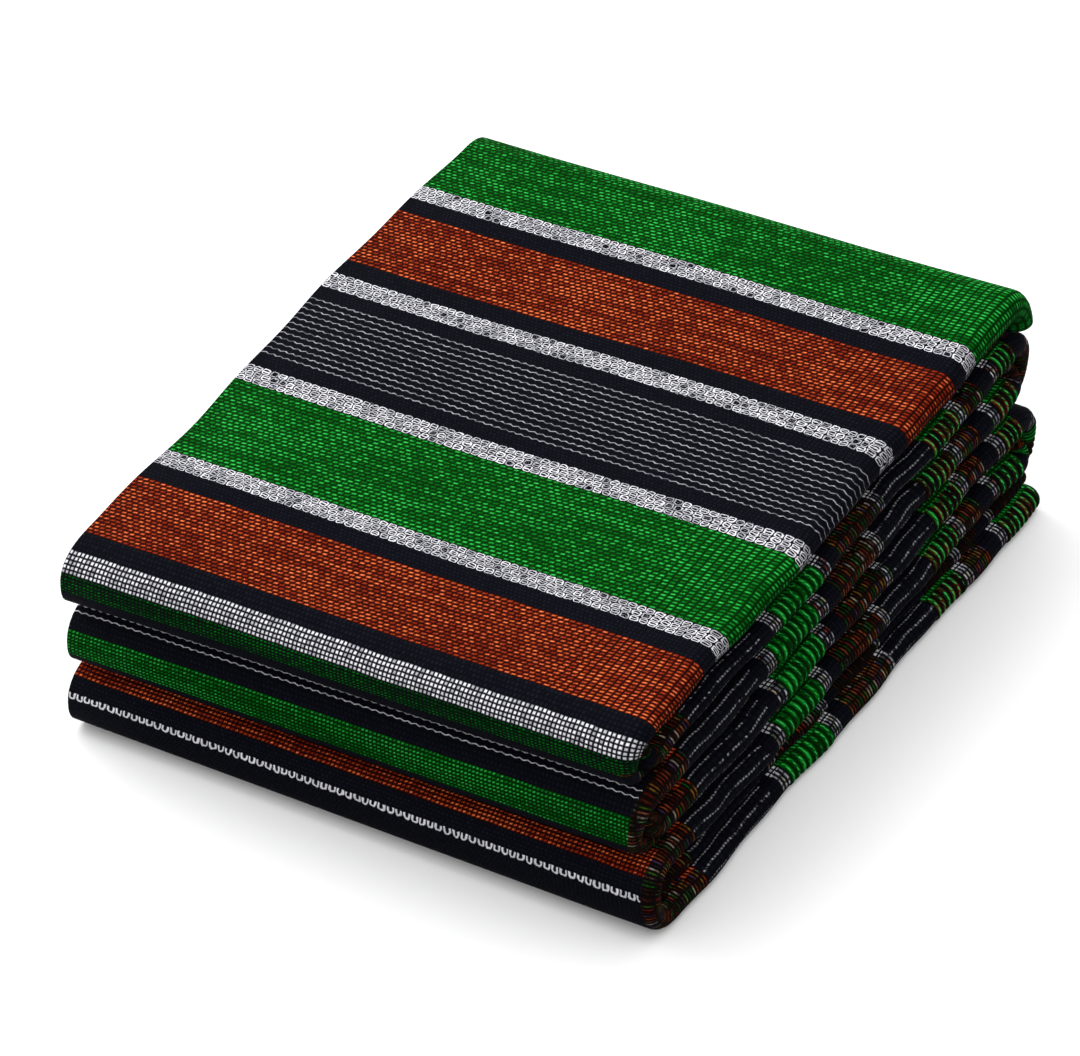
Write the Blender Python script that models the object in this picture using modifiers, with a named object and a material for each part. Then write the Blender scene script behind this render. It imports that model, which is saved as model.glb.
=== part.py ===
"""A folded aso oke cloth: one hand-woven striped sheet, folded twice and laid down flat.

The sheet is first folded in four along its stripes, like an accordion, which gives a packet of four
layers with two loops on the right and one on the left. The packet is then laid to and fro six times,
which gives the three rounded folds at the front. The front is at -Y, the stripes run along X, and
the origin is under the middle of the bundle, on the surface that it lies on.
"""

import math
from collections import namedtuple

import bmesh
import bpy

# Sizes of the folded bundle, in metres
WIDTH = 0.268
DEPTH = 0.321
SHEET = 0.0026

# The packet of four layers: half its thickness, and what its upper side has more in the top pass
HALF_PACKET = 0.0089
TOP_EXTRA = 0.0035
PACKET_GAP = 0.0011

# The loops on the right: each pass has a big one that stands out and a small one set back. The first
# loop joins the sheet's first two layers, so it is the upper one in every other pass
Pass = namedtuple("Pass", "name first_loop_is_big")
PASSES = (
    Pass("top", 1.0),
    Pass("second", 0.0),
    Pass("third", 1.0),
    Pass("fourth", 0.0),
    Pass("fifth", 1.0),
    Pass("bottom", 1.0),
)
SMALL_LOOP = 0.0038
BETWEEN_LOOPS = 0.0034
SMALL_LOOP_SETBACK = 0.006
LEFT_LOOP_SETBACK = 0.0025

# Where the layers start to part for the loops, and the lines across each layer on the way there
LOOPS_START = 0.055
LOOPS_END = 0.108
LAYER_LINES = (-0.030, LOOPS_START, LOOPS_END)

# How far each fold of the packet stays behind the bundle's front or back, and how square it is: 2 is
# round, and more is squarer. The cloth's two ends stay behind the back too
Fold = namedtuple("Fold", "name setback squareness")
FOLDS = (
    Fold("upper front", 0.0, 2.7),
    Fold("upper back", 0.0020, 2.6),
    Fold("middle front", 0.0006, 2.4),
    Fold("lower back", 0.0004, 2.6),
    Fold("lower front", 0.0, 2.4),
)
TOP_END_SETBACK = 0.0
BOTTOM_END_SETBACK = 0.004

# The waviness of the sheet's edges and loops, along the long way of the cloth
Wave = namedtuple("Wave", "size length shift")
LOOP_WAVES = (Wave(0.0008, 0.117, 0.4), Wave(0.0004, 0.043, 2.1))
EDGE_WAVES = (Wave(0.0012, 0.210, 1.3), Wave(0.0006, 0.071, 0.2))

# The cage that the bundle leans in: how far its corners stay inside the full width and depth at the
# bottom and at the top, and the heights there of the levels between the three folds at the front
Corner = namedtuple("Corner", "name right back inset_x inset_y top_inset_x top_inset_y heights")
CORNERS = (
    Corner("front left", False, False, 0.0010, 0.0008, 0.0026, 0.0022, (0.0, 0.0308, 0.0622, 0.0900)),
    Corner("front right", True, False, 0.0079, 0.0091, 0.0159, 0.0029, (0.0, 0.0358, 0.0750, 0.1005)),
    Corner("back left", False, True, 0.0043, 0.0004, 0.0012, 0.0007, (0.0, 0.0330, 0.0660, 0.0990)),
    Corner("back right", True, True, 0.0, 0.0013, 0.0110, 0.0, (0.0, 0.0370, 0.0745, 0.1120)),
)

# Steps of the mesh: along one pass, round one fold, round a loop at the right and at the left
RUN_STEPS = 4
FOLD_STEPS = 8
DROOP_STEPS = 4
LOOP_STEPS = 6
LEFT_LOOP_STEPS = 4

# Colour and roughness of the yarn
GREEN = (0.012, 0.21, 0.035, 1.0)
YARN_ROUGHNESS = 0.6

PITCH = 2.0 * HALF_PACKET + PACKET_GAP
FOLD_RADIUS = PITCH / 2.0
FOLD_REACH = FOLD_RADIUS + HALF_PACKET
HEIGHT = PITCH * (len(PASSES) - 1) + 2.0 * HALF_PACKET + TOP_EXTRA

Station = namedtuple("Station", "y z out_y out_z passes length")


def ease(low, high, value):
    """Rises smoothly from 0 at low to 1 at high."""
    part = min(max((value - low) / (high - low), 0.0), 1.0)
    return part * part * (3.0 - 2.0 * part)


def setback(waves, length):
    """How far a wavy edge stays behind its outermost line, never less than nothing."""
    return sum(wave.size * (1.0 + math.sin(math.tau * length / wave.length + wave.shift)) for wave in waves)


def turn(y, z, side, angle, squareness, passes):
    """A station on a fold round y and z, at an angle from its top; side is -1 in front and 1 behind."""
    across_y = side * math.sin(angle)
    across_z = math.cos(angle)
    stretch = (abs(across_y) ** squareness + abs(across_z) ** squareness) ** (-1.0 / squareness)
    reach = stretch * FOLD_RADIUS
    out = -side * stretch
    return Station(y + reach * across_y, z + reach * across_z, out * across_y, out * across_z, passes, 0.0)


def route():
    """The stations along the cloth's long way, from its end at the top of the back to the one below."""
    level = HEIGHT - HALF_PACKET - TOP_EXTRA
    ends = [DEPTH / 2.0 - FOLD_REACH - TOP_EXTRA - TOP_END_SETBACK]
    for number, fold in enumerate(FOLDS):
        side = -1.0 if number % 2 == 0 else 1.0
        ends.append(side * (DEPTH / 2.0 - FOLD_REACH - fold.setback))
    ends.append(DEPTH / 2.0 - BOTTOM_END_SETBACK)
    stations = []
    for step in range(DROOP_STEPS):
        angle = math.pi / 2.0 * (1.0 - step / DROOP_STEPS)
        y = ends[0] + FOLD_RADIUS * math.sin(angle)
        z = level - FOLD_RADIUS * (1.0 - math.cos(angle))
        stations.append(Station(y, z, math.sin(angle), math.cos(angle), 0.0, 0.0))
    for number in range(len(PASSES)):
        up = 1.0 if number % 2 == 0 else -1.0
        for step in range(RUN_STEPS + 1):
            y = mix(ends[number], ends[number + 1], step / RUN_STEPS)
            stations.append(Station(y, level, 0.0, up, float(number), 0.0))
        if number < len(FOLDS):
            for step in range(1, FOLD_STEPS):
                part = step / FOLD_STEPS
                centre = level - FOLD_RADIUS
                square = FOLDS[number].squareness
                stations.append(turn(ends[number + 1], centre, -up, math.pi * part, square, number + part))
        level -= PITCH
    return measured(stations)


def measured(stations):
    """The same stations with their length along the route."""
    length = 0.0
    result = [stations[0]]
    for last, station in zip(stations, stations[1:]):
        length += math.hypot(station.y - last.y, station.z - last.z)
        result.append(station._replace(length=length))
    return result


def layer_heights(station):
    """Heights of the four layers off the route's line, spread evenly and as they meet the loops."""
    first = HALF_PACKET + TOP_EXTRA * (1.0 - ease(0.0, 1.0, station.passes)) - SHEET / 2.0
    last = SHEET / 2.0 - HALF_PACKET
    spread = first - last
    big_loop = spread - SMALL_LOOP - BETWEEN_LOOPS
    number = min(int(station.passes), len(PASSES) - 2)
    turned = ease(0.0, 1.0, station.passes - number)
    first_is_big = mix(PASSES[number].first_loop_is_big, PASSES[number + 1].first_loop_is_big, turned)
    first_loop = mix(SMALL_LOOP, big_loop, first_is_big)
    last_loop = mix(big_loop, SMALL_LOOP, first_is_big)
    even = [first - spread * layer / 3.0 for layer in range(4)]
    looped = [first, first - first_loop, last + last_loop, last]
    return even, looped, first_is_big


def loop(x, top, bottom, side, steps):
    """The inner points of a loop whose outermost point is at x, from one layer to the next."""
    radius = abs(top - bottom) / 2.0
    middle = (top + bottom) / 2.0
    centre = x - side * radius
    turns = [math.pi * step / steps for step in range(1, steps)]
    return [(centre + side * radius * math.sin(a), middle + (top - middle) * math.cos(a)) for a in turns]


def across(station):
    """The points across the packet at a station: x, and the height off the route's line."""
    even, looped, first_is_big = layer_heights(station)
    outer = WIDTH / 2.0 - SHEET / 2.0 - setback(LOOP_WAVES, station.length)
    tips = (
        outer - SMALL_LOOP_SETBACK * (1.0 - first_is_big),
        outer - SMALL_LOOP_SETBACK * first_is_big,
    )
    centres = (tips[0] - (looped[0] - looped[1]) / 2.0, tips[1] - (looped[2] - looped[3]) / 2.0)
    edge = -WIDTH / 2.0 + setback(EDGE_WAVES, station.length)
    left_tip = edge + LEFT_LOOP_SETBACK + SHEET / 2.0
    left_centre = left_tip + (even[1] - even[2]) / 2.0
    starts = (edge, left_centre, left_centre, edge)

    def layer(number):
        xs = (starts[number], *LAYER_LINES, centres[number // 2])
        return [(x, mix(even[number], looped[number], ease(LOOPS_START, LOOPS_END, x))) for x in xs]

    return [
        *layer(0),
        *loop(tips[0], looped[0], looped[1], 1.0, LOOP_STEPS),
        *reversed(layer(1)),
        *loop(left_tip, even[1], even[2], -1.0, LEFT_LOOP_STEPS),
        *layer(2),
        *loop(tips[1], looped[2], looped[3], 1.0, LOOP_STEPS),
        *reversed(layer(3)),
    ]


def mix(first, second, share):
    """The value that lies a share of the way from the first to the second."""
    return first + (second - first) * share


def yarn_material():
    material = bpy.data.materials.new("yarn")
    material.use_nodes = True
    shader = material.node_tree.nodes["Principled BSDF"]
    shader.inputs["Base Color"].default_value = GREEN
    shader.inputs["Roughness"].default_value = YARN_ROUGHNESS
    shader.inputs["Metallic"].default_value = 0.0
    return material


def folded_sheet(collection):
    """The whole cloth: an open grid laid along the folds, thickened by Solidify."""
    stations = route()
    rows = [across(station) for station in stations]
    last_row = len(rows) - 1
    last_column = len(rows[0]) - 1
    mesh = bpy.data.meshes.new("cloth")
    grid = bmesh.new()
    bmesh.ops.create_grid(grid, x_segments=last_row, y_segments=last_column, size=0.5)
    for vertex in grid.verts:
        row = round((vertex.co.x + 0.5) * last_row)
        column = round((vertex.co.y + 0.5) * last_column)
        station = stations[row]
        x, height = rows[row][column]
        vertex.co = (x, station.y + station.out_y * height, station.z + station.out_z * height)
    grid.to_mesh(mesh)
    grid.free()
    mesh.shade_smooth()
    mesh.materials.append(yarn_material())
    cloth = bpy.data.objects.new("cloth", mesh)
    collection.objects.link(cloth)
    sheet = cloth.modifiers.new("sheet", "SOLIDIFY")
    sheet.thickness = SHEET
    sheet.offset = 0.0
    sheet.use_even_offset = True
    return cloth


def lean_to_corners(cloth, collection):
    """Fits the bundle into its cage: plump over the loops at the right, and flatter at the left."""
    steps = len(CORNERS[0].heights) - 1
    cage = bpy.data.lattices.new("corners")
    cage.points_u = cage.points_v = 2
    cage.points_w = steps + 1
    cage.interpolation_type_u = cage.interpolation_type_v = cage.interpolation_type_w = "KEY_LINEAR"
    corners = {(corner.right, corner.back): corner for corner in CORNERS}
    for point in cage.points:
        share = point.co.z / steps + 0.5
        corner = corners[point.co.x > 0.0, point.co.y > 0.0]
        inset_x = mix(corner.inset_x, corner.top_inset_x, share)
        inset_y = mix(corner.inset_y, corner.top_inset_y, share)
        height = corner.heights[round(share * steps)]
        point.co_deform = (
            math.copysign(0.5 - inset_x / WIDTH, point.co.x),
            math.copysign(0.5 - inset_y / DEPTH, point.co.y),
            (height / HEIGHT - 0.5) * steps,
        )
    holder = bpy.data.objects.new("corners", cage)
    holder.location = (0.0, 0.0, HEIGHT / 2.0)
    holder.scale = (WIDTH, DEPTH, HEIGHT / steps)
    collection.objects.link(holder)
    lean = cloth.modifiers.new("corners", "LATTICE")
    lean.object = holder


def main():
    for item in list(bpy.data.objects):
        bpy.data.objects.remove(item)
    collection = bpy.data.collections.new("folded aso oke cloth")
    bpy.context.scene.collection.children.link(collection)
    cloth = folded_sheet(collection)
    lean_to_corners(cloth, collection)


main()
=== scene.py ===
"""The folded aso oke cloth of the photo: one hand-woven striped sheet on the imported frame.

The sheet lies in the same folds as the CAD cloth, worked out here from the same sizes, with a finer
mesh and raised yarn round its side loops. Its stripes and weave are materials that follow the sheet's
own length and width. All sizes are in metres.
"""

import math
from collections import namedtuple

import bpy
import numpy as np
from mathutils import Matrix, Vector


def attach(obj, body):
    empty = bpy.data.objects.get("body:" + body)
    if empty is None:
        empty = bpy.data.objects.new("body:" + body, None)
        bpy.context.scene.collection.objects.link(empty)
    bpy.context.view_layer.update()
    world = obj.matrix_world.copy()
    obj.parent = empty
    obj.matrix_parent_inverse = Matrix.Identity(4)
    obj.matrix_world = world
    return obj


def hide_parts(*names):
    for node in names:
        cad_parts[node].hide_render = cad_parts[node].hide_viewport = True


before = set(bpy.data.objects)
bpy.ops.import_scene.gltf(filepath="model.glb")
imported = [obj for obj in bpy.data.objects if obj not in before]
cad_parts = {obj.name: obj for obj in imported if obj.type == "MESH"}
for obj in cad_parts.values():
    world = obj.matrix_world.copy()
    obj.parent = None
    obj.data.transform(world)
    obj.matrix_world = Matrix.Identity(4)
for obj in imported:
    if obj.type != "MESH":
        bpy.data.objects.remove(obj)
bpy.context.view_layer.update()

# Sizes of the folded bundle, of its packet of four layers and of the sheet laid flat
WIDTH = 0.268
DEPTH = 0.321
SHEET = 0.0026
HALF_PACKET = 0.0089
TOP_EXTRA = 0.0035
PACKET_GAP = 0.0011

# The loops on the right, a big and a small one in each pass
FIRST_LOOP_IS_BIG = (1.0, 0.0, 1.0, 0.0, 1.0, 1.0)
SMALL_LOOP = 0.0038
BETWEEN_LOOPS = 0.0034
SMALL_LOOP_SETBACK = 0.006
LEFT_LOOP_SETBACK = 0.0025
LOOPS_START = 0.055
LOOPS_END = 0.108

# The folds of the packet, in front and behind by turns, and the setback of the cloth's lower end
Fold = namedtuple("Fold", "setback squareness")
FOLDS = (Fold(0.0, 2.7), Fold(0.0020, 2.6), Fold(0.0006, 2.4), Fold(0.0004, 2.6), Fold(0.0, 2.4))
BOTTOM_END_SETBACK = 0.004

# The waviness of the edges and loops
Wave = namedtuple("Wave", "size length shift")
LOOP_WAVES = (Wave(0.0008, 0.117, 0.4), Wave(0.0004, 0.043, 2.1))
EDGE_WAVES = (Wave(0.0012, 0.210, 1.3), Wave(0.0006, 0.071, 0.2))

# The cage that the bundle leans in, by (right, back): insets at the bottom and top, and heights
Corner = namedtuple("Corner", "inset_x inset_y top_inset_x top_inset_y heights")
CORNERS = {
    (0, 0): Corner(0.0010, 0.0008, 0.0026, 0.0022, (0.0, 0.0308, 0.0622, 0.0900)),
    (1, 0): Corner(0.0079, 0.0091, 0.0159, 0.0029, (0.0, 0.0358, 0.0750, 0.1005)),
    (0, 1): Corner(0.0043, 0.0004, 0.0012, 0.0007, (0.0, 0.0330, 0.0660, 0.0990)),
    (1, 1): Corner(0.0, 0.0013, 0.0110, 0.0, (0.0, 0.0370, 0.0745, 0.1120)),
}

# Low swells over the whole bundle, each with its height and how far apart its crests are along x and y;
# a minus sign slants it the other way
Swell = namedtuple("Swell", "height apart_x apart_y")
SWELLS = (Swell(0.0004, 0.170, 0.420), Swell(0.0003, -0.330, 0.093))

# Lines of the mesh across the first, second, third and fourth layer, and its steps elsewhere
FIRST_LINES = (-0.095, -0.062, -0.030, 0.0, 0.028, 0.055, 0.073, 0.088, 0.099, 0.108)
INNER_LINES = (-0.060, -0.005, 0.055, 0.082, 0.108)
LAYER_LINES = (FIRST_LINES, INNER_LINES, INNER_LINES, INNER_LINES)
LOOP_STEPS = 12
LEFT_LOOP_STEPS = 8
FOLD_STEPS = 48
PASS_STEPS = 12
SMOOTH_STEP = 0.0030
STEPS_PER_RIB = 6

# How far the yarn stands out round the loops of the lower passes, and how much of that is sunk in
RIB_HEIGHT = 0.00055
RIB_SUNK = 0.4

# Where the first front fold, which runs from pass 0 to pass 1, changes over to the lower passes
LOWER_START = 0.35
LOWER_FULL = 0.75

# A short crease over the top pass, near its corner in front at the right; it starts above one share of
# the bundle's height and is full above another
CREASE_START = (0.101, -0.106)
CREASE_END = (0.105, -0.138)
CREASE_DEPTH = 0.0012
CREASE_WIDTH = 0.0028
CREASE_ABOVE = 0.85
CREASE_FULL = 0.95

# The camera of the photo, with its angles in degrees and its lens in millimetres
CAMERA_AZIMUTH = 30.3
CAMERA_ELEVATION = 38.9
CAMERA_LENS = 186.5
CAMERA_DISTANCE = 2.200
CAMERA_TARGET = (-0.00465, -0.0064, 0.040)
CAMERA_RIGHT = 0.00440
CAMERA_UP = 0.00558

# The sky, dim below a first share along its axis and bright above a second, and the key light in watts
WORLD_LIGHT = 1.55
LIGHT_FROM_BELOW = 0.04
SKY_AXIS = (-0.35, -0.05, 0.93)
SKY_DIM_UNTIL = -0.10
SKY_BRIGHT_FROM = 0.50
KEY_PLACE = (-1.00, 0.10, 1.60)
KEY_SIZE = 1.4
KEY_POWER = 12.0
KEY_TARGET = (0.0, 0.0, 0.05)

# The floor, a square whose half side and drop below the cloth are given
FLOOR_COLOUR = (0.93, 0.93, 0.93)
FLOOR_SIZE = 6.0
FLOOR_DROP = 0.0002

# Stripes of the top pass and its front fold, each with the length along the cloth where it ends; the
# first one is what hangs over the back, and the last rust stripe is parted where the fold begins
Stripe = namedtuple("Stripe", "yarn end")
TOP_STRIPES = (
    Stripe("green", 0.0148),
    Stripe("green", 0.0473),
    Stripe("rings", 0.0570),
    Stripe("black", 0.0665),
    Stripe("rust", 0.1053),
    Stripe("black", 0.1148),
    Stripe("rings", 0.1249),
    Stripe("black", 0.1320),
    Stripe("lines", 0.1749),
    Stripe("black", 0.1820),
    Stripe("rings", 0.1923),
    Stripe("green", 0.2427),
    Stripe("rings", 0.2520),
    Stripe("black", 0.2613),
    Stripe("rust", 0.2956),
    Stripe("rust", 0.2972),
    Stripe("black", 0.3013),
    Stripe("checks", 0.3064),
    # This green grid is a darker copy of the green: painted shade under the fold.
    Stripe("deep green grid", 0.3122),
    # This last black stripe, where the fold turns under, is painted shade.
    Stripe("black", 0.3268),
)

# Stripes of the other passes, each with its distance behind the front of the bundle
PASS_STRIPES = (
    Stripe("mixed", 0.030),
    Stripe("rust", 0.038),
    Stripe("long lines", 0.092),
    Stripe("black", 0.099),
    Stripe("checks", 0.106),
    Stripe("green", 0.138),
    Stripe("checks", 0.145),
    Stripe("black", 0.153),
    Stripe("mixed", 0.185),
    Stripe("checks", 0.190),
    Stripe("long lines", 0.226),
    Stripe("green mix", 0.250),
    Stripe("checks", 0.256),
    Stripe("mixed", 0.270),
    Stripe("black", 0.280),
    Stripe("checks", 0.286),
    Stripe("green mix", 0.330),
)
PASS_SHIFTS = (0.0, 0.001, -0.003, 0.002, -0.002, 0.001)
THINNEST_STRIPE = 0.001

# Stripes of the other folds, each with the share of the fold where it ends
FOLD_STRIPES = {
    1: (
        Stripe("black", 0.2),
        Stripe("checks", 0.3),
        Stripe("rust", 0.7),
        Stripe("checks", 0.8),
        Stripe("black", 1.0),
    ),
    2: (
        Stripe("black", 0.147),
        Stripe("bright lines", 0.247),
        Stripe("black", 0.357),
        Stripe("green grid", 0.62),
        # The black after the green grid, where the fold turns under, is painted shade.
        Stripe("black", 1.0),
    ),
    3: (
        Stripe("black", 0.2),
        Stripe("rings", 0.34),
        Stripe("green", 0.7),
        Stripe("black", 1.0),
    ),
    4: (
        Stripe("rust grid", 0.243),
        Stripe("black", 0.362),
        Stripe("arches", 0.437),
        Stripe("black", 1.0),
    ),
}

# The distance from one row of a weave to the next
ROW_PITCH = {
    "green": 0.00194,
    "green mix": 0.00194,
    "rust": 0.00190,
    "green grid": 0.00185,
    "deep green grid": 0.00185,
    "rust grid": 0.00185,
    "black": 0.0019,
    "mixed": 0.00185,
    "rings": 0.0033,
    "checks": 0.0020,
    "lines": 0.0036,
    "bright lines": 0.0036,
    "arches": 0.0042,
    "long lines": 0.0036,
}

# The loops at the right, the yarns that stand out as ribs round them, and what shows there in their place
RIGHT_LOOPS = ("first loop", "last loop")
RIBBED = ("green", "green mix")
BIG_LOOP_YARNS = {
    "green": "green cord",
    "green mix": "green mixed cord",
    "green grid": "mixed cord",
    "deep green grid": "mixed cord",
    "rust": "mixed cord",
    "rust grid": "mixed cord",
    "mixed": "mixed cord",
    "checks": "tangle",
    "rings": "tangle",
    "lines": "black",
}
SMALL_LOOP_YARNS = {
    "green": "mixed cord",
    "green mix": "dark cord",
    "green grid": "mixed cord",
    "deep green grid": "mixed cord",
    "rust": "mixed cord",
    "rust grid": "dark cord",
    "mixed": "dark cord",
    "checks": "tangle",
    "rings": "mixed cord",
    "lines": "long lines",
}

# Sizes in the weave: the black grid and the checks, the waves and tones of the white lines, the lines
# along the loops, the U shapes, and the ribs round the loops with their twist
THREAD_CELL = 0.0019
LINE_WAVE = 0.0038
LINE_TONE = 0.0016
LONG_LINE_APART = 0.0040
LONG_LINE_WAVE = 0.0036
LONG_LINE_DASH = 0.0018
ARCH_CELL = 0.0037
RIB_CELL = 0.0050
RIB_TWIST = 0.0021

# The slip of one row of the weave against the next, and where it ends near the loop of the first layer
ROW_SLIP = 0.60
SLIP_FADES = 0.205
SLIP_ENDS = 0.238

# Depths of the relief
FAINT_RELIEF = 0.0003
RELIEF = 0.0005
DEEP_RELIEF = 0.0006

# Colours of the yarn, and of the painted highlights and painted shade laid on it
BLACK = (0.0020, 0.0022, 0.0042)
BLACK_SHINE = (0.0065, 0.007, 0.0125)
BRIGHT_WHITE = (0.80, 0.80, 0.85)
WHITE = (0.58, 0.58, 0.64)
GREY = (0.15, 0.15, 0.18)
LINE_GREY = (0.10, 0.10, 0.12)
LINE_WHITE = (0.42, 0.42, 0.46)
PALE_GREY = (0.33, 0.33, 0.37)
GREEN_GROUND = (0.0004, 0.016, 0.001)
GREEN_DULL = (0.0008, 0.105, 0.005)
GREEN_BRIGHT = (0.002, 0.300, 0.017)
# The palest green and rust are painted highlights on the yarn
GREEN_PAINTED_HIGHLIGHT = (0.060, 0.640, 0.130)
# A darker green, for painted shade under the top pass's front fold
GREEN_IN_PAINTED_SHADE = (0.0006, 0.042, 0.003)
RUST_GROUND = (0.009, 0.001, 0.0008)
RUST_DULL = (0.210, 0.015, 0.004)
RUST_BRIGHT = (0.560, 0.058, 0.011)
RUST_PAINTED_HIGHLIGHT = (0.950, 0.290, 0.095)

# Palettes: of the plain weaves from the ground to the painted highlight on a float, and of the mixed yarns
# at random
GREEN_YARN = (GREEN_GROUND, GREEN_DULL, GREEN_BRIGHT, GREEN_PAINTED_HIGHLIGHT)
# The green palette one step darker, for painted shade
GREEN_YARN_IN_PAINTED_SHADE = (BLACK, GREEN_IN_PAINTED_SHADE, GREEN_DULL, GREEN_BRIGHT)
RUST_YARN = (RUST_GROUND, RUST_DULL, RUST_BRIGHT, RUST_PAINTED_HIGHLIGHT)
MIXED = (
    (0.065, 0.005, 0.003),
    (0.240, 0.028, 0.006),
    (0.004, 0.060, 0.007),
    (0.026, 0.004, 0.003),
    (0.160, 0.016, 0.005),
    (0.002, 0.120, 0.010),
    (0.005, 0.004, 0.004),
    (0.270, 0.120, 0.016),
    (0.010, 0.032, 0.005),
    (0.350, 0.060, 0.013),
    (0.050, 0.034, 0.100),
    (0.420, 0.370, 0.290),
)
GREEN_MIXED = (
    (0.001, 0.090, 0.005),
    (0.050, 0.006, 0.003),
    (0.002, 0.200, 0.012),
    (0.004, 0.004, 0.005),
    (0.110, 0.060, 0.010),
    (0.001, 0.050, 0.004),
    (0.150, 0.022, 0.006),
)
TANGLED = (
    (0.80, 0.80, 0.85),
    (0.40, 0.40, 0.48),
    (0.58, 0.58, 0.66),
    (0.36, 0.38, 0.50),
    (0.70, 0.70, 0.76),
    (0.03, 0.03, 0.04),
    (0.50, 0.44, 0.30),
    (0.80, 0.80, 0.85),
    (0.10, 0.20, 0.07),
    (0.45, 0.45, 0.52),
    (0.22, 0.05, 0.03),
)
DARK = (
    (0.022, 0.002, 0.0015),
    (0.004, 0.002, 0.002),
    (0.070, 0.008, 0.003),
    (0.002, 0.018, 0.003),
    (0.010, 0.003, 0.002),
    (0.060, 0.030, 0.005),
    (0.006, 0.004, 0.010),
)

# Sizes that follow from those above
PITCH = 2.0 * HALF_PACKET + PACKET_GAP
FOLD_RADIUS = PITCH / 2.0
FOLD_REACH = FOLD_RADIUS + HALF_PACKET
FOLD_STRETCH = FOLD_REACH / FOLD_RADIUS
PASSES = len(FIRST_LOOP_IS_BIG)
HEIGHT = PITCH * (PASSES - 1) + 2.0 * HALF_PACKET + TOP_EXTRA

# A place along the cloth's long way, a stripe with where it lies, and the part of a stripe between two
# rows of the mesh, where weave counts the rows of yarn from the start of the stripe
Station = namedtuple("Station", "y z out_y out_z passes length")
Band = namedtuple("Band", "yarn start end stretch")
Span = namedtuple("Span", "yarn band weave_start weave_end")


def mix(first, second, share):
    """The value at a share of the way from the first to the second."""
    return first + (second - first) * share


def ease(low, high, value):
    """0 where value is up to low, rising smoothly to 1 at high."""
    part = min(max((value - low) / (high - low), 0.0), 1.0)
    return part * part * (3.0 - 2.0 * part)


def setback(waves, length):
    """How far a wavy edge lies behind its outermost line, at a length along the cloth."""
    turns = [math.tau * length / wave.length + wave.shift for wave in waves]
    return sum(wave.size * (1.0 + math.sin(angle)) for wave, angle in zip(waves, turns))


def turn(y, z, side, angle, squareness, passes):
    """A station on a fold round y and z, at an angle from its top; side is -1 in front and 1 behind.

    The packet's outer layer runs squarish round the fold, and its inner one round.
    """
    across_y = side * math.sin(angle)
    across_z = math.cos(angle)
    stretch = (abs(across_y) ** squareness + abs(across_z) ** squareness) ** (-1.0 / squareness)
    layer = HALF_PACKET - SHEET / 2.0
    inside = FOLD_RADIUS - layer
    outside = stretch * (FOLD_RADIUS + layer)
    reach = (outside + inside) / 2.0
    out = -side * (outside - inside) / (2.0 * layer)
    return Station(y + reach * across_y, z + reach * across_z, out * across_y, out * across_z, passes, 0.0)


def route():
    """The stations along the cloth's long way, from its end at the top of the back to the one below."""
    level = HEIGHT - HALF_PACKET - TOP_EXTRA
    ends = [DEPTH / 2.0 - FOLD_REACH - TOP_EXTRA]
    for number, fold in enumerate(FOLDS):
        side = -1.0 if number % 2 == 0 else 1.0
        ends.append(side * (DEPTH / 2.0 - FOLD_REACH - fold.setback))
    ends.append(DEPTH / 2.0 - BOTTOM_END_SETBACK)
    stations = []
    droop_steps = FOLD_STEPS // 2
    for step in range(droop_steps):
        angle = math.pi / 2.0 * (1.0 - step / droop_steps)
        y = ends[0] + FOLD_RADIUS * math.sin(angle)
        z = level - FOLD_RADIUS * (1.0 - math.cos(angle))
        stations.append(Station(y, z, math.sin(angle), math.cos(angle), 0.0, 0.0))
    for number in range(PASSES):
        up = 1.0 if number % 2 == 0 else -1.0
        for step in range(PASS_STEPS + 1):
            y = mix(ends[number], ends[number + 1], step / PASS_STEPS)
            stations.append(Station(y, level, 0.0, up, float(number), 0.0))
        if number < len(FOLDS):
            centre = level - FOLD_RADIUS
            square = FOLDS[number].squareness
            for step in range(1, FOLD_STEPS):
                part = step / FOLD_STEPS
                stations.append(turn(ends[number + 1], centre, -up, math.pi * part, square, number + part))
        level -= PITCH
    length = 0.0
    result = [stations[0]]
    for last, station in zip(stations, stations[1:]):
        length += math.hypot(station.y - last.y, station.z - last.z)
        result.append(station._replace(length=length))
    return result


def stations_at(stations, lengths):
    """The stations at any lengths along the route."""
    known = [station.length for station in stations]
    parts = [np.interp(lengths, known, [station[part] for station in stations]) for part in range(5)]
    return [Station(*(float(value) for value in values)) for values in zip(*parts, lengths)]


def layer_heights(station):
    """Heights of the four layers off the route's line, spread evenly and as they meet the loops."""
    first = HALF_PACKET + TOP_EXTRA * (1.0 - ease(0.0, 1.0, station.passes)) - SHEET / 2.0
    last = SHEET / 2.0 - HALF_PACKET
    spread = first - last
    big_loop = spread - SMALL_LOOP - BETWEEN_LOOPS
    first_is_big = first_loop_share(station.passes)
    first_loop = mix(SMALL_LOOP, big_loop, first_is_big)
    last_loop = mix(big_loop, SMALL_LOOP, first_is_big)
    even = [first - spread * layer / 3.0 for layer in range(4)]
    looped = [first, first - first_loop, last + last_loop, last]
    return even, looped


def first_loop_share(passes):
    """How far the first loop is the big one: 1 or 0 in a pass, and between them on a fold."""
    number = min(int(passes), PASSES - 2)
    return mix(FIRST_LOOP_IS_BIG[number], FIRST_LOOP_IS_BIG[number + 1], ease(0.0, 1.0, passes - number))


def loop(x, top, bottom, side, steps):
    """The inner points of a loop whose outermost point is at x, from one layer to the next."""
    radius = abs(top - bottom) / 2.0
    middle = (top + bottom) / 2.0
    centre = x - side * radius
    turns = [math.pi * step / steps for step in range(1, steps)]
    return [(centre + side * radius * math.sin(a), middle + (top - middle) * math.cos(a)) for a in turns]


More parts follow.
